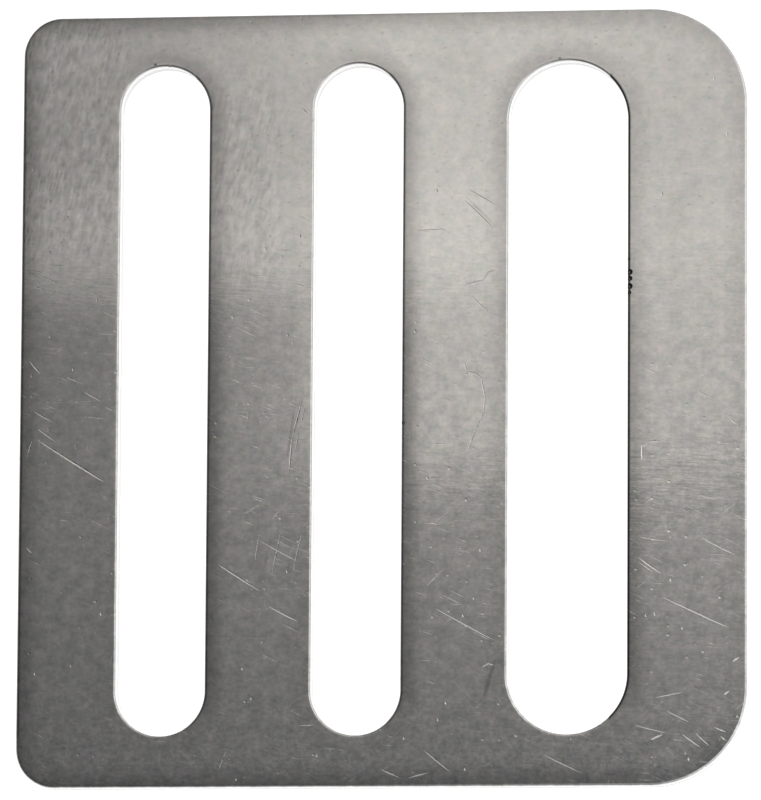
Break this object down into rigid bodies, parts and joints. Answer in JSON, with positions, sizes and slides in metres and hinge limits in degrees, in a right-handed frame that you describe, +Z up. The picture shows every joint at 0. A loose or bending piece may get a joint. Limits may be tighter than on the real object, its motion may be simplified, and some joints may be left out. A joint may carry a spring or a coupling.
{
  "type": "tri-glide slide",
  "caption": "Flat stainless steel slide plate with side-by-side round-ended slots that a strap's webbing threads through, to adjust and hold its length.",
  "frame": {"origin": "centre of the plate's outline, on the flat surface that its back lies on", "axes": "+X across the slots from the narrow ones to the wide one, +Y along the slots, +Z up out of the face that shows"},
  "size_m": [0.0562, 0.06, 0.002],
  "materials": {
    "stainless_plate": "bare rolled stainless steel, with a faint rolling grain along the slots, handled and scratched, cut edges tumbled"
  },
  "bodies": {
    "root": {"slide_plate": "stainless_plate"}
  },
  "joints": []
}
